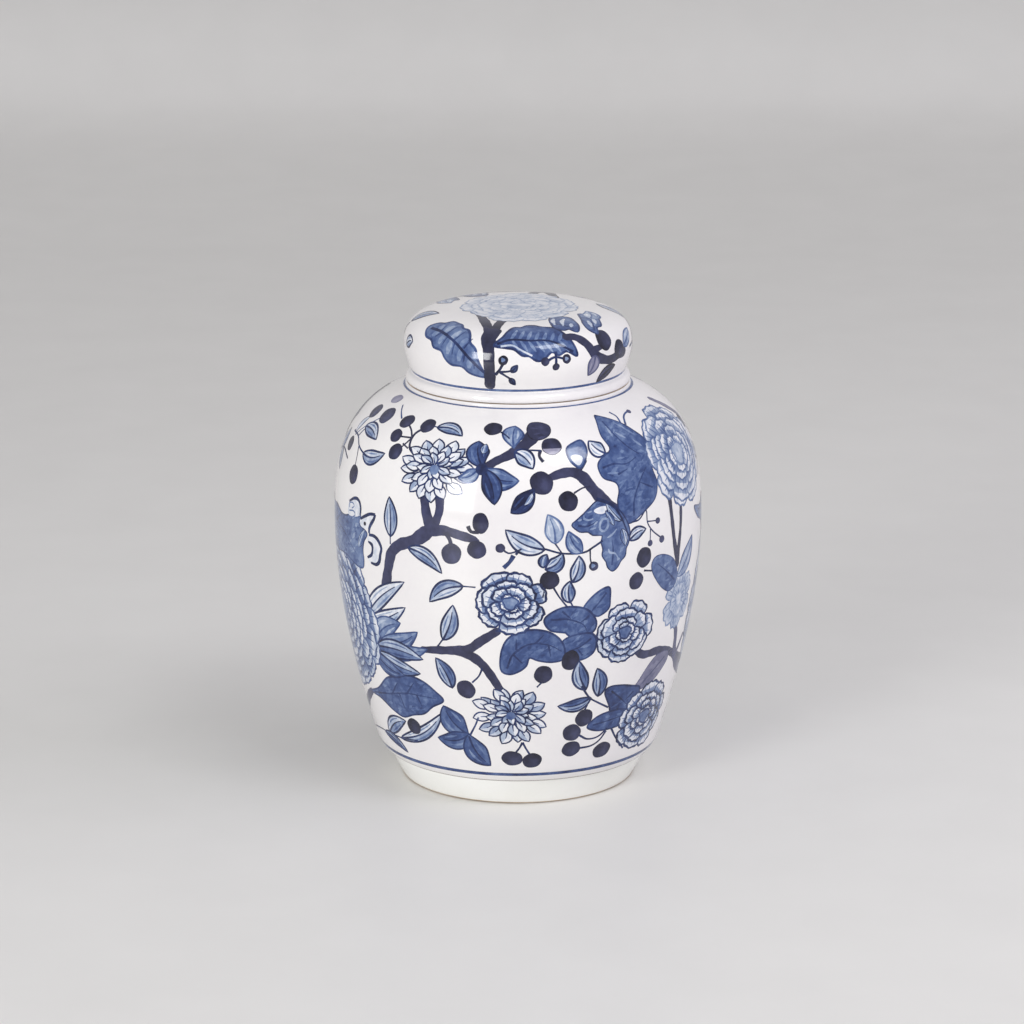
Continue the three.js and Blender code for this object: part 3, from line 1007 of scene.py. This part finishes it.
@motif(BODY, 0.07)
def leaf_sprig(p):
    p.stem([
        (-0.8, 131.5), (1.6, 134.6), (7.2, 134.4), (13.4, 131.4), (20, 131), (23.4, 133.4), (26.4, 136),
    ], 1.1)
    p.leaf((8, 133.8), (-3.8, 144), 9.4, 0.1, wash=0.12)
    p.deep_leaf((11.2, 136.6), (9, 151.4), 9.2, -0.08, 0.34)
    p.stem([(11.2, 136.6), (13.2, 131.6)], 0.8)
    p.deep_leaf((19.6, 131.2), (15.4, 142.4), 7.6, 0.1, 0.42)
    p.stem([(22.2, 132.8), (22.3, 127), (22.8, 124.4)], 0.8)
    p.berry((23.4, 123.4), 2.5, 0.72)
    p.highlight((23.2, 123.6), 1.1)
    p.stem([(-4.6, 134), (-3, 132.2), (-0.8, 133), (1, 134.4)], 0.9)
    p.berry((-5.4, 134.7), 2.4, 0.72)
    p.stem([(-1.4, 131), (-2.6, 127.6), (-4.4, 124.6)], 2.2, 0.78)
    p.leaf((8.2, 123.6), (13.4, 131.4), 7.4, -0.16, wash=0.3)
    p.leaf((7.6, 124.6), (8.6, 131.2), 5.0, 0.1, wash=0.4, vein=False)
    p.berry((9.5, 117.8), 4.9, 0.88)
    p.stem([(8.2, 114), (7.4, 108.6)], 0.9)
    p.stem([(10.8, 113.6), (12.6, 108.6), (15.2, 103)], 0.9)
    p.leaf((16.6, 116), (18.6, 129.4), 7.4, -0.1, wash=0.22)
    p.leaf((16, 105.4), (15.8, 116.6), 6.8, 0.08, wash=0.26)
    p.stem([(16, 106), (17, 103)], 0.9)


@motif(BODY, 0.07)
def middle_peony(p):
    p.peony((-2.4, 106), 18.6, 0.9, 0.3, rings=4, petals=7, wash=0.56)


@motif(BODY, 0.05)
def cobalt_leaves_middle(p):
    p.big_leaf([
        (20.4, 100.8), (22.4, 106), (26, 110.2), (29, 111), (29.4, 104.6), (29, 99.6), (25.6, 96.4),
        (23.4, 98),
    ], [
        [(28, 108.6), (25.4, 103.4), (22.6, 98.6)],
    ], 0.56)
    p.big_leaf([
        (8, 96.6), (10.4, 100.6), (14.4, 103), (19, 102.4), (22.6, 99.6), (25, 93.6), (24.4, 88.6),
        (21.4, 86.6), (16.4, 86.8), (15, 89), (10, 91),
    ], [
        [(10, 96.6), (15.4, 96.4), (20.4, 93), (22, 89)], [(13.6, 101), (16.4, 96.6)],
        [(22.4, 97), (19.6, 94)],
    ], 0.64)
    p.big_leaf([
        (14.4, 85), (18.6, 87.6), (23.6, 87.4), (25.6, 82.6), (24.6, 76.4), (20.6, 73.2), (16, 74.6),
        (13.6, 79),
    ], [
        [(23.6, 84.6), (20, 80.6), (16.4, 79)], [(21, 75.6), (19, 80)],
    ], 0.6)
    p.big_leaf([
        (-5.6, 69.4), (-5.4, 79), (-3.4, 86.4), (0.4, 90.4), (5, 91.6), (9.6, 90), (13, 86), (14.8, 80.6),
        (14.6, 74.6), (10.8, 73.2), (6.4, 74.4), (3.6, 76), (2.6, 71.6), (0.2, 68.4), (-3, 66.8),
    ], [
        [(-3.6, 70), (-1.6, 78), (3.4, 83.6), (9.4, 83), (14, 79)], [(-0.6, 80.6), (-0.6, 86.6)],
        [(5.4, 84), (8, 88.6)], [(9.6, 82.6), (10.4, 76.4)], [(-1.4, 77.6), (1.4, 73)],
    ], 0.62)
    p.berry((17, 73.6), 4.6, 0.86, squash=1.25)
    p.berry((8.2, 66.4), 4.9, 0.82)
    p.stem([(7.6, 61.6), (6.2, 59.2)], 0.9)
    p.leaf((23.4, 55.6), (20, 72.6), 8.2, 0.08, wash=0.34)
    p.leaf((28.4, 50.6), (26.8, 67), 8.0, -0.08, wash=0.34)
    p.leaf((25.6, 50.4), (13.8, 47.4), 7.0, 0.12, wash=0.42)
    p.stem([(21.6, 58), (25, 50.8), (28.6, 47), (33.4, 42.8)], 1.1)


@motif(BODY, 0.07)
def small_peony(p):
    p.peony((36, 85), 18.4, 0.92, 0.1, rings=4, petals=7, wash=0.46, edge=0.9)


@motif(BODY, 0.03)
def lower_branch(p):
    p.branch([
        (-32, 76.4, 3.2), (-27, 77.4, 3.6), (-21, 78.4, 4.4), (-16, 79.8, 4.4), (-12, 84.6, 4),
        (-8.6, 88.4, 4), (-6.6, 90.6, 3.6),
    ], 0.72)
    p.branch([
        (-20, 78, 3.6), (-15, 76, 4.4), (-11.4, 71.4, 4.2), (-9, 66, 3.8), (-6.8, 60, 3.8), (-4.2, 52, 4),
    ], 0.76)
    p.stem([(-7, 91), (-4, 90.6), (-1.8, 88.8)], 0.9)
    p.stem([(-11.6, 70), (-13, 65), (-15.4, 61)], 1.0)
    p.berry((-17.7, 56.8), 5.1, 0.78)
    p.leaf((-22.6, 56.8), (-27.6, 72.8), 8.4, -0.06, wash=0.36)


@motif(BODY, 0.05)
def lower_chrysanthemum(p):
    p.chrysanthemum((-2.6, 42.5), 19.6, 0.86, -0.3, 0.31)
    p.stem([(1.6, 26.5), (0.6, 23.4), (-0.8, 20.4)], 1.1)
    p.stem([(1.6, 26.5), (3.2, 22), (4.6, 18.6)], 1.1)
    p.berry((-2.3, 16.7), 5.3, squash=0.86)
    p.berry((5.4, 15.3), 5.0, 0.88, squash=0.9)


@motif(BODY, 0.05)
def three_leaves(p):
    p.deep_leaf((-18.4, 29.6), (-26.8, 45.4), 13.5, 0.1, 0.64, 1.0)
    p.deep_leaf((-17.6, 30.2), (-31.2, 25.4), 10.5, 0.14, 0.66, 0.9)
    p.deep_leaf((-18.4, 30), (-10.8, 11.8), 12, -0.1, 0.68, 1.0)
    p.stem([(-17.6, 30), (-15.4, 36), (-14, 41)], 1.0, 0.8)


@motif(BODY, 0.03)
def big_cobalt_leaf(p):
    p.branch([(-85, 24, 5), (-78, 29, 4.6), (-72, 35, 4), (-66, 40.4, 3.4)], 0.62)
    p.leaf((-59.6, 18.6), (-46, 30.6), 8.6, 0.1, wash=0.24)
    p.leaf((-51.8, 18.4), (-27.6, 41), 7.0, -0.1, wash=0.16)
    p.stem([(-84, 13), (-70, 17.4), (-59, 18.4), (-50, 18.8), (-41.6, 20.4)], 0.9)
    p.leaf((-64, 17.4), (-49.6, 10.6), 5.6, 0.1, wash=0.5)
    p.berry((-42, 28.9), 4.7, 0.88)
    p.big_leaf([
        (-66, 40.6), (-58.6, 45.4), (-51, 54.2), (-45, 56.6), (-39.8, 59.4), (-34, 57.8), (-29.6, 53.4),
        (-26.6, 48.4), (-31.4, 43.6), (-35.6, 38.4), (-41, 36), (-46.6, 33), (-52, 35.2), (-59, 39.6),
    ], [
        [(-63, 41.2), (-52, 44.6), (-41.6, 48.4), (-29.4, 49)], [(-50, 45.4), (-46, 53)],
        [(-42, 48.2), (-38, 55.6)], [(-46, 46.8), (-44.6, 38)], [(-37.6, 49), (-36, 42.6)],
    ], 0.6)


@motif(BODY, 0.07)
def left_peony(p):
    p.peony((-80, 82), 46, 0.98, 0.0, rings=9, petals=17, wash=0.8, edge=0.9, faint=0.76, pale=0.12)


@motif(BODY, 0.05)
def left_leaves(p):
    p.leaf((-57.6, 85.6), (-37.4, 111.6), 9.6, 0.05, wash=0.06)
    p.leaf((-56.6, 84.4), (-37.6, 97.8), 8.4, -0.06, wash=0.08)
    p.deep_leaf((-53.6, 74.6), (-40.2, 88.6), 12, 0.1, 0.5)
    p.deep_leaf((-51, 75), (-33.6, 85.6), 10, -0.1, 0.52)
    p.deep_leaf((-52, 74), (-30.4, 77), 9.4, -0.1, 0.5)
    p.leaf((-53.6, 71.4), (-32.6, 70.6), 10, 0.06, wash=0.36)
    p.leaf((-53, 68.4), (-34.4, 62), 9, -0.06, wash=0.34)
    p.deep_leaf((-55, 66.6), (-41.6, 58.8), 9, -0.1, 0.6)


@motif(BODY, 0.09)
def curling_leaf(p):
    p.big_leaf([
        (-108, 139), (-100, 137), (-93, 140), (-85, 137), (-78, 138), (-71, 135.6), (-66, 137),
        (-62, 140.4), (-58, 141), (-57.3, 138), (-57.6, 134.8), (-53.6, 132), (-55.3, 127), (-56, 122),
        (-55.6, 117), (-56.4, 112.8), (-60, 112.6), (-68, 115.6), (-76, 115), (-85, 118), (-93, 121),
        (-98, 128), (-104, 132),
    ], [
        [(-104, 136), (-92, 132), (-80, 130), (-69, 127), (-60, 119)], [(-90, 132), (-84, 136)],
        [(-78, 129.6), (-73, 134.6)], [(-94, 132.6), (-92, 125)], [(-80, 130), (-79, 121)],
    ], 0.52, edge=0.7)
    p.leaf((-58.4, 123), (-54.8, 133.6), 4.4, 0.0, wash=0.3, edge=0.3, vein=False)
    scroll = [
        (-65.6, 137.6), (-65.8, 142.4), (-64.4, 145.6), (-61.4, 147.6), (-58.8, 147.2), (-57.4, 143.6),
        (-57.8, 140), (-61, 138),
    ]
    p.patch(scroll, 0.06)
    p.stroke([
        (-65.4, 144.4), (-62.2, 147.1), (-59.8, 147.6), (-58.2, 146), (-57.5, 143), (-57.7, 140),
    ], [1.2, 1.8, 1.3], 0.86)
    p.stroke([(-65, 141.4), (-65, 143.6), (-62.8, 144.6), (-61.6, 143.2), (-63.2, 141.6)], 0.7, 0.46)
    p.stroke([(-65, 139.8), (-61.8, 140.6), (-60.8, 138.8), (-63, 136.8)], 0.8, 0.5)
    fin = [
        (-57.5, 138), (-55, 140.4), (-52.2, 142.5), (-49.6, 143.2), (-50.3, 140.4), (-51.4, 138),
        (-52.4, 135.2), (-55, 134), (-57.4, 135),
    ]
    p.patch(fin, 0.04)
    p.stroke([(-57.4, 138.2), (-55, 140.4), (-52.2, 142.5), (-49.7, 143)], [1.4, 1.8, 1.5], 0.88)
    p.stroke([
        (-49.7, 143), (-50.3, 140.4), (-51.4, 138), (-52.4, 135.2), (-52.5, 132.4),
    ], [1.5, 2.0, 1.4], 0.88)
    p.berry((-54.8, 136.6), 1.1, 0.95)
    hook = [
        (-53.4, 130), (-52.2, 131.4), (-50, 131.8), (-48, 130), (-46.6, 126.6), (-47.2, 122.6),
        (-47.6, 119.4), (-49, 117), (-51.4, 116.8), (-53.2, 118.8), (-51.6, 121), (-51, 124.4), (-51, 127),
        (-52.8, 128),
    ]
    p.patch(hook, 0.03)
    p.stroke([
        (-52.6, 131.6), (-50, 131.8), (-48, 130.1), (-46.6, 126.6), (-47.2, 122.6), (-47.6, 119.4),
        (-49, 117.2), (-51.8, 117.2),
    ], [1.4, 2.0, 1.6, 2.0, 1.2], 0.88)
    p.stroke([
        (-53, 128), (-51, 126.8), (-50.8, 124.2), (-51.4, 121.4), (-53.5, 119.4),
    ], [0.9, 2.2, 1.5, 1.9, 1.2], 0.88)


@motif(BODY, 0.03)
def lower_right_leaves(p):
    p.branch([
        (42, 72.4, 3.2), (46, 69.2, 4), (53.4, 68.8, 4), (60, 66, 3.6), (70, 58.6, 4.4), (80, 52, 5),
    ], 0.66)
    p.big_leaf([
        (44, 50), (46, 55.4), (50, 63), (54, 66.6), (60, 66), (61, 61), (57, 54.6), (51, 49.4),
    ], [[(58.6, 63.4), (52, 57), (46.4, 50.6)]], 0.28, 1, edge=0.4)
    p.big_leaf([
        (31, 52.4), (33, 55), (38, 54.4), (42.6, 52.6), (47, 50), (45.6, 42), (42.6, 38), (35.6, 38),
        (33.6, 44),
    ], [
        [(33.6, 52.4), (38, 47), (42.6, 41)], [(44, 49), (40.6, 44.6)],
    ], 0.7)
    p.big_leaf([
        (25.8, 33), (28.6, 37.6), (33, 39.8), (40, 40), (44, 36.6), (41.6, 31), (36, 29.4), (29.6, 30),
    ], [[(28, 33.6), (34, 34.6), (41.6, 36)]], 0.66)
    p.peony((54, 31), 20.5, 0.94, 0.2, rings=4, petals=9, wash=0.52)
    p.stem([(36.6, 29.4), (40, 22.6), (45.4, 14.6)], 1.1)


@motif(BODY, 0.05)
def low_berries(p):
    p.stem([(23, 28.6), (26.6, 25.6), (31, 26), (34.6, 30)], 1.1)
    p.stem([(24, 20.6), (28.6, 21), (32, 23.6), (34.4, 28.6)], 1.1)
    p.stem([(23.8, 43.4), (24.6, 46.4)], 1.0)
    p.berry((24, 38.9), 5.0, 0.82)
    p.berry((19.9, 30.8), 5.0, 0.78)
    p.berry((20.4, 20.8), 5.2, 0.78, squash=0.86)
    p.berry((34, 17.2), 5.4, squash=0.86)


@motif(BODY, 0.03)
def side_sprigs(p):
    p.stem([(82, 152), (87, 160), (93, 165), (100, 166.6), (107, 164)], 1.1)
    p.leaf((88, 161), (82.6, 170.4), 7.6, 0.1)
    p.leaf((94, 165.4), (96.4, 177), 7.6, -0.08)
    p.leaf((94.6, 165), (99.6, 155.6), 7.4, 0.1)
    p.berry((104.6, 171.4), 4.0)
    p.berry((86.8, 180.6), 4.2, 0.76)
    p.stem([(92, 170), (89.4, 174.4), (87.6, 177)], 0.9)
    p.stem([(80, 40), (84, 31), (88, 23), (91, 17)], 1.1)
    p.leaf((84, 31), (93, 36.4), 7, 0.1)
    p.leaf((87.4, 24), (79.4, 20.4), 6.6, 0.1)
    p.berry((92, 13.6), 4.2)


@motif(CAP_SIDE, 0.04)
def lid_leaves(p):
    p.big_leaf([
        (-60, 30), (-56.4, 34.6), (-52, 36), (-48.6, 39.2), (-43, 38.6), (-38.4, 37.6), (-35, 34.8),
        (-30.6, 33.8), (-27.4, 30), (-25.6, 25.6), (-22, 22.4), (-20, 16.6), (-16.4, 9), (-20, 8.6),
        (-25, 10), (-29, 13), (-35, 13.2), (-39, 16), (-41.8, 19.4), (-47.4, 20.4), (-50.6, 23.6),
        (-56.4, 25),
    ], (), 0.5, edge=1.1, daubs=0)
    lobes = [
        ((-50, 29.8), (-50.6, 34.4)), ((-45, 28.6), (-42.4, 35.6)), ((-38, 26.4), (-34.4, 32.4)),
        ((-31, 22.8), (-27.8, 28)), ((-49, 29.2), (-51.6, 25.8)), ((-43, 28), (-44.6, 22.6)),
        ((-37, 25.6), (-37.6, 18.4)), ((-30, 21.4), (-30.6, 15.6)), ((-24.6, 17), (-25, 12.4)),
    ]
    for root, tip in lobes:
        p.stroke([root, tip], [1.8, 3.4, 1.6], 0.36)
        p.stroke([(root[0] + 2.6, root[1] - 0.6), (tip[0] + 2.8, tip[1])], [1.0, 0.8, 0.5], 0.7)
    p.stem([(-57, 30), (-46, 29.2), (-34, 24.6), (-24, 17), (-17, 11)], 1.6, 0.84)
    p.branch([
        (-14.6, 4.2, 4.6), (-14.2, 9, 5.4), (-14.4, 15, 4.6), (-15, 22, 5.4), (-16.2, 29, 6.6),
        (-18, 35, 4.6),
    ], 0.84)
    p.branch([(-15.6, 27, 4.4), (-13.6, 32, 4.4), (-12.8, 35, 4)], 0.84)
    p.stem([(-11.4, 10), (-9.4, 12.4), (-7.4, 16)], 1.5, 0.92)
    p.stem([(-9.4, 11.6), (-5, 12), (-1.4, 13)], 1.2, 0.92)
    p.stem([(-9, 11.4), (-6, 9.4), (-3.4, 7.6)], 1.2, 0.92)
    p.berry((-7.4, 17.7), 2.5, 0.92)
    p.highlight((-7.5, 17.9), 1.1)
    p.deep_leaf((-3.4, 11.6), (-0.4, 15.2), 2.6, 0.0, 0.84)
    p.deep_leaf((-4.2, 8.2), (-1.6, 4.6), 2.4, 0.0, 0.88)
    p.big_leaf([
        (-12.6, 25.2), (-8.6, 30.4), (-6.4, 35), (-3, 39.4), (2, 39.6), (6, 41.8), (11.6, 41.6), (15, 39.6),
        (19, 38.6), (23.6, 37), (26.6, 32), (29, 26), (30.6, 18.4), (25, 21.2), (20.6, 19.6), (17, 21.4),
        (12.6, 17.8), (9, 17.4), (5.6, 19.8), (2, 20.2), (-2, 23.2), (-6.4, 24),
    ], (), 0.62, edge=1.1, daubs=0)
    for k in range(7):
        x, y = -4 + 4.3 * k, 28.6 - 0.3 * k
        p.stroke([(x, y), (x + 3.4, y + 8 - 0.5 * k)], [1.0, 2.0, 0.8], 0.4 + 0.04 * (k % 2))
        p.stroke([(x + 0.8, y), (x + 4.4, y - 6)], [0.8, 1.8, 0.6], 0.42)
    p.stem([(-11, 26), (-4, 28.8), (6, 28.2), (17, 27.4), (28.6, 20.6)], 1.3, 0.9)
    p.stem([(-9, 24.8), (-3, 25.4), (2, 22.6), (7, 20)], 1.0, 0.14)
    p.stem([(19, 21.6), (19, 17), (18.8, 14.4)], 1.5, 0.9)
    p.stem([(14, 16.6), (16.6, 18.2), (19, 18.8), (22, 18), (24, 17.4)], 1.3, 0.9)
    p.berry((13.4, 16.8), 2.2, 0.74)
    p.berry((18.9, 13.8), 1.9, 0.86)
    p.berry((24.6, 17.4), 2.4, 0.84)
    p.highlight((24.5, 17.5), 1.0)


@motif(CAP_SIDE, 0.06)
def lid_branch(p):
    p.branch([
        (27, 29, 4), (32, 28.4, 4), (37, 24, 4), (40.6, 18.4, 4.6), (44, 15.4, 4.6), (52, 13, 4),
        (60, 14, 4), (66, 14.6, 5),
    ], 0.76)
    p.branch([(42, 20, 3), (47, 21, 2.6), (51, 22.4, 2.4)], 0.76)
    p.berry((50, 24), 5.4, 0.84, squash=1.05)
    p.berry((61, 17), 4.8, 0.82)
    p.deep_leaf((41.6, 17), (38, 6.8), 7.0, 0.06, 0.3, paint=1)
    p.deep_leaf((45.4, 1.6), (58, 9), 6.2, 0.1, 0.84, 1.0, paint=1)
    p.big_leaf([
        (23.4, 36.6), (23.8, 42), (26.4, 47.6), (31, 51.6), (38, 52), (45.6, 47.6), (43, 40.6),
        (40.6, 35.8), (35.6, 31.4), (31.6, 34.6), (28.6, 34),
    ], [[(27, 42), (32, 38), (36, 33)]], 0.58, edge=0.9, daubs=3)
    p.big_leaf([
        (44, 31.4), (45.6, 36.8), (49.4, 40.6), (56, 45.6), (62, 47.8), (67, 40.4), (61, 35.6), (56, 32),
        (51.4, 31.6), (47.8, 27.8),
    ], [[(47.4, 30), (53, 36), (60, 42)]], 0.52, edge=0.9, daubs=3)
    for places in (
        [(25.6, 40.4), (28, 46), (32, 49)], [(30.6, 38.4), (34, 43.6), (39.6, 46.6)],
        [(34.6, 36), (38, 39.6)], [(48.4, 33), (52.6, 38.8)], [(54, 34.4), (60, 39.4)],
    ):
        p.stroke(places, [0.8, 2.4, 1.0], 0.16)
    p.deep_leaf((58, 40), (74, 47), 9, -0.1, 0.3)
    p.deep_leaf((66, 17.6), (80, 24), 7, 0.0, 0.42)
    p.leaf((104, 16), (113, 19.6), 6, 0.1, wash=0.06)
    p.leaf((94, 27), (106, 41), 8, 0.1)
    p.stem([(76, 15), (86, 17), (94, 26)], 1.2, 0.8)
    p.berry((88, 9.6), 3.6, 0.78)
    p.stem([(86, 16.6), (87.6, 12.6)], 1.0, 0.8)


for turn, side in ((0, "front"), (180, "back")):
    for draw, wall, lift in MOTIFS:
        painting = Painting(f"{draw.__name__}__{side}", wall, turn, lift)
        draw(painting)
        painting.finish()

PRONGS = (
    [(-14.4, -46.5, 4.6), (-16, -38, 4.4), (-18, -28, 4), (-19.4, -21, 3.2)],
    [(-11.6, -44.5, 4), (-9.6, -38, 4.4), (-7.4, -31.6, 4)],
)
for way, side in ((1, "front"), (-1, "back")):
    trunk = Painting(f"trunk_prongs__{side}", CAP_TOP, lift=0.06)
    for prong in PRONGS:
        trunk.branch([(way * x, way * y, width) for x, y, width in prong], 0.82)
    trunk.finish()

crown_peony = Painting("crown_peony", CAP_TOP, lift=0.09)
crown_peony.peony((1, -1), 30, 1.1, 0.4, rings=6, petals=11, wash=0.5, edge=0.8, faint=0.29)
crown_peony.finish()

lines = Painting("jar_rings", BODY, lift=0.02)
lines.ring(6.3, [2.0, 2.5, 2.2, 2.6, 2.0], 0.66)
# The thin brown line just above the body's lower edge is a painted shadow where that edge meets the foot.
lines.ring(0.9, [0.6, 0.9, 0.5, 0.8, 1.0, 0.6], 0.66, 2)
lines.ring(BODY.up[-1] - 0.4, [1.5, 1.8, 1.4, 1.5], 0.62)
lines.finish()

lid_line = Painting("lid_ring", CAP_SIDE, lift=0.02)
lid_line.ring(1.0, [1.3, 1.6, 1.3, 1.4], 0.58)
lid_line.finish()

# ---- floor, light and camera --------------------------------------------------------------------

paper = Nodes("pale_floor")
paper.colour(paper.noise(60, 3), [(0.2, (228, 227, 224)), (0.8, (224, 223, 220))])
paper.shader.inputs["Roughness"].default_value = 0.45

# A flat floor that curves up into a backdrop, through places (depth, height).
REACH = 4000
sweep = [(-1200, 0), (1400, 0), (1900, 120), (2150, 500), (2200, 2400)]
curve = np.concatenate([[-REACH], smooth([complex(*place) for place in sweep], step=80)])
corners = [(x, z.real, max(z.imag, 0.0)) for z in curve for x in (-REACH, REACH)]
faces = [(2 * i, 2 * i + 1, 2 * i + 3, 2 * i + 2) for i in range(len(curve) - 1)]
new_piece("studio_floor", corners, faces, [paper.material], [0] * len(faces))

JAR_MIDDLE = (0, 0, 0.15)


def area_light(name, place, width, height, watts, colour=(255, 255, 255)):
    """A soft rectangular light that faces the jar's middle."""
    lamp = bpy.data.lights.new(name, "AREA")
    lamp.shape = "RECTANGLE"
    lamp.size, lamp.size_y = width, height
    lamp.energy = watts
    lamp.color = linear(colour)
    holder = bpy.data.objects.new(name, lamp)
    holder.location = place
    holder.rotation_euler = (Vector(JAR_MIDDLE) - Vector(place)).to_track_quat("-Z", "Y").to_euler()
    scene.collection.objects.link(holder)
    return holder


def around_jar(side, above, distance):
    """A place so many degrees right of the front and above the level of the jar's middle."""
    side, above = math.radians(side), math.radians(above)
    flat = distance * math.cos(above)
    return flat * math.sin(side), -flat * math.cos(side), JAR_MIDDLE[2] + distance * math.sin(above)


area_light("window_light", around_jar(-37, 13, 2.6), 0.8, 0.98, 32)
area_light("panel_light", around_jar(42, 50, 1.5), 0.6, 0.38, 5)
fill = area_light("fill_light", around_jar(78, 22, 2.0), 1.6, 1.3, 15, (232, 229, 244))
fill.visible_glossy = False

world = bpy.data.worlds.new("studio")
scene.world = world
world.use_nodes = True
backdrop = world.node_tree.nodes["Background"]
backdrop.inputs["Color"].default_value = (*linear((233, 232, 235)), 1)
backdrop.inputs["Strength"].default_value = 0.63

scene.view_settings.view_transform = "Standard"

lens = bpy.data.cameras.new("camera")
lens.sensor_width = 36
lens.lens = 151.7
lens.clip_end = 20
camera = bpy.data.objects.new("camera", lens)
AIM, DISTANCE, TILT = Vector((-0.0031, 0, 0.1389)), 2.239, math.radians(15)
camera.location = AIM + DISTANCE * Vector((0, -math.cos(TILT), math.sin(TILT)))
camera.rotation_euler = (math.pi / 2 - TILT, 0, 0)
scene.collection.objects.link(camera)
scene.camera = camera
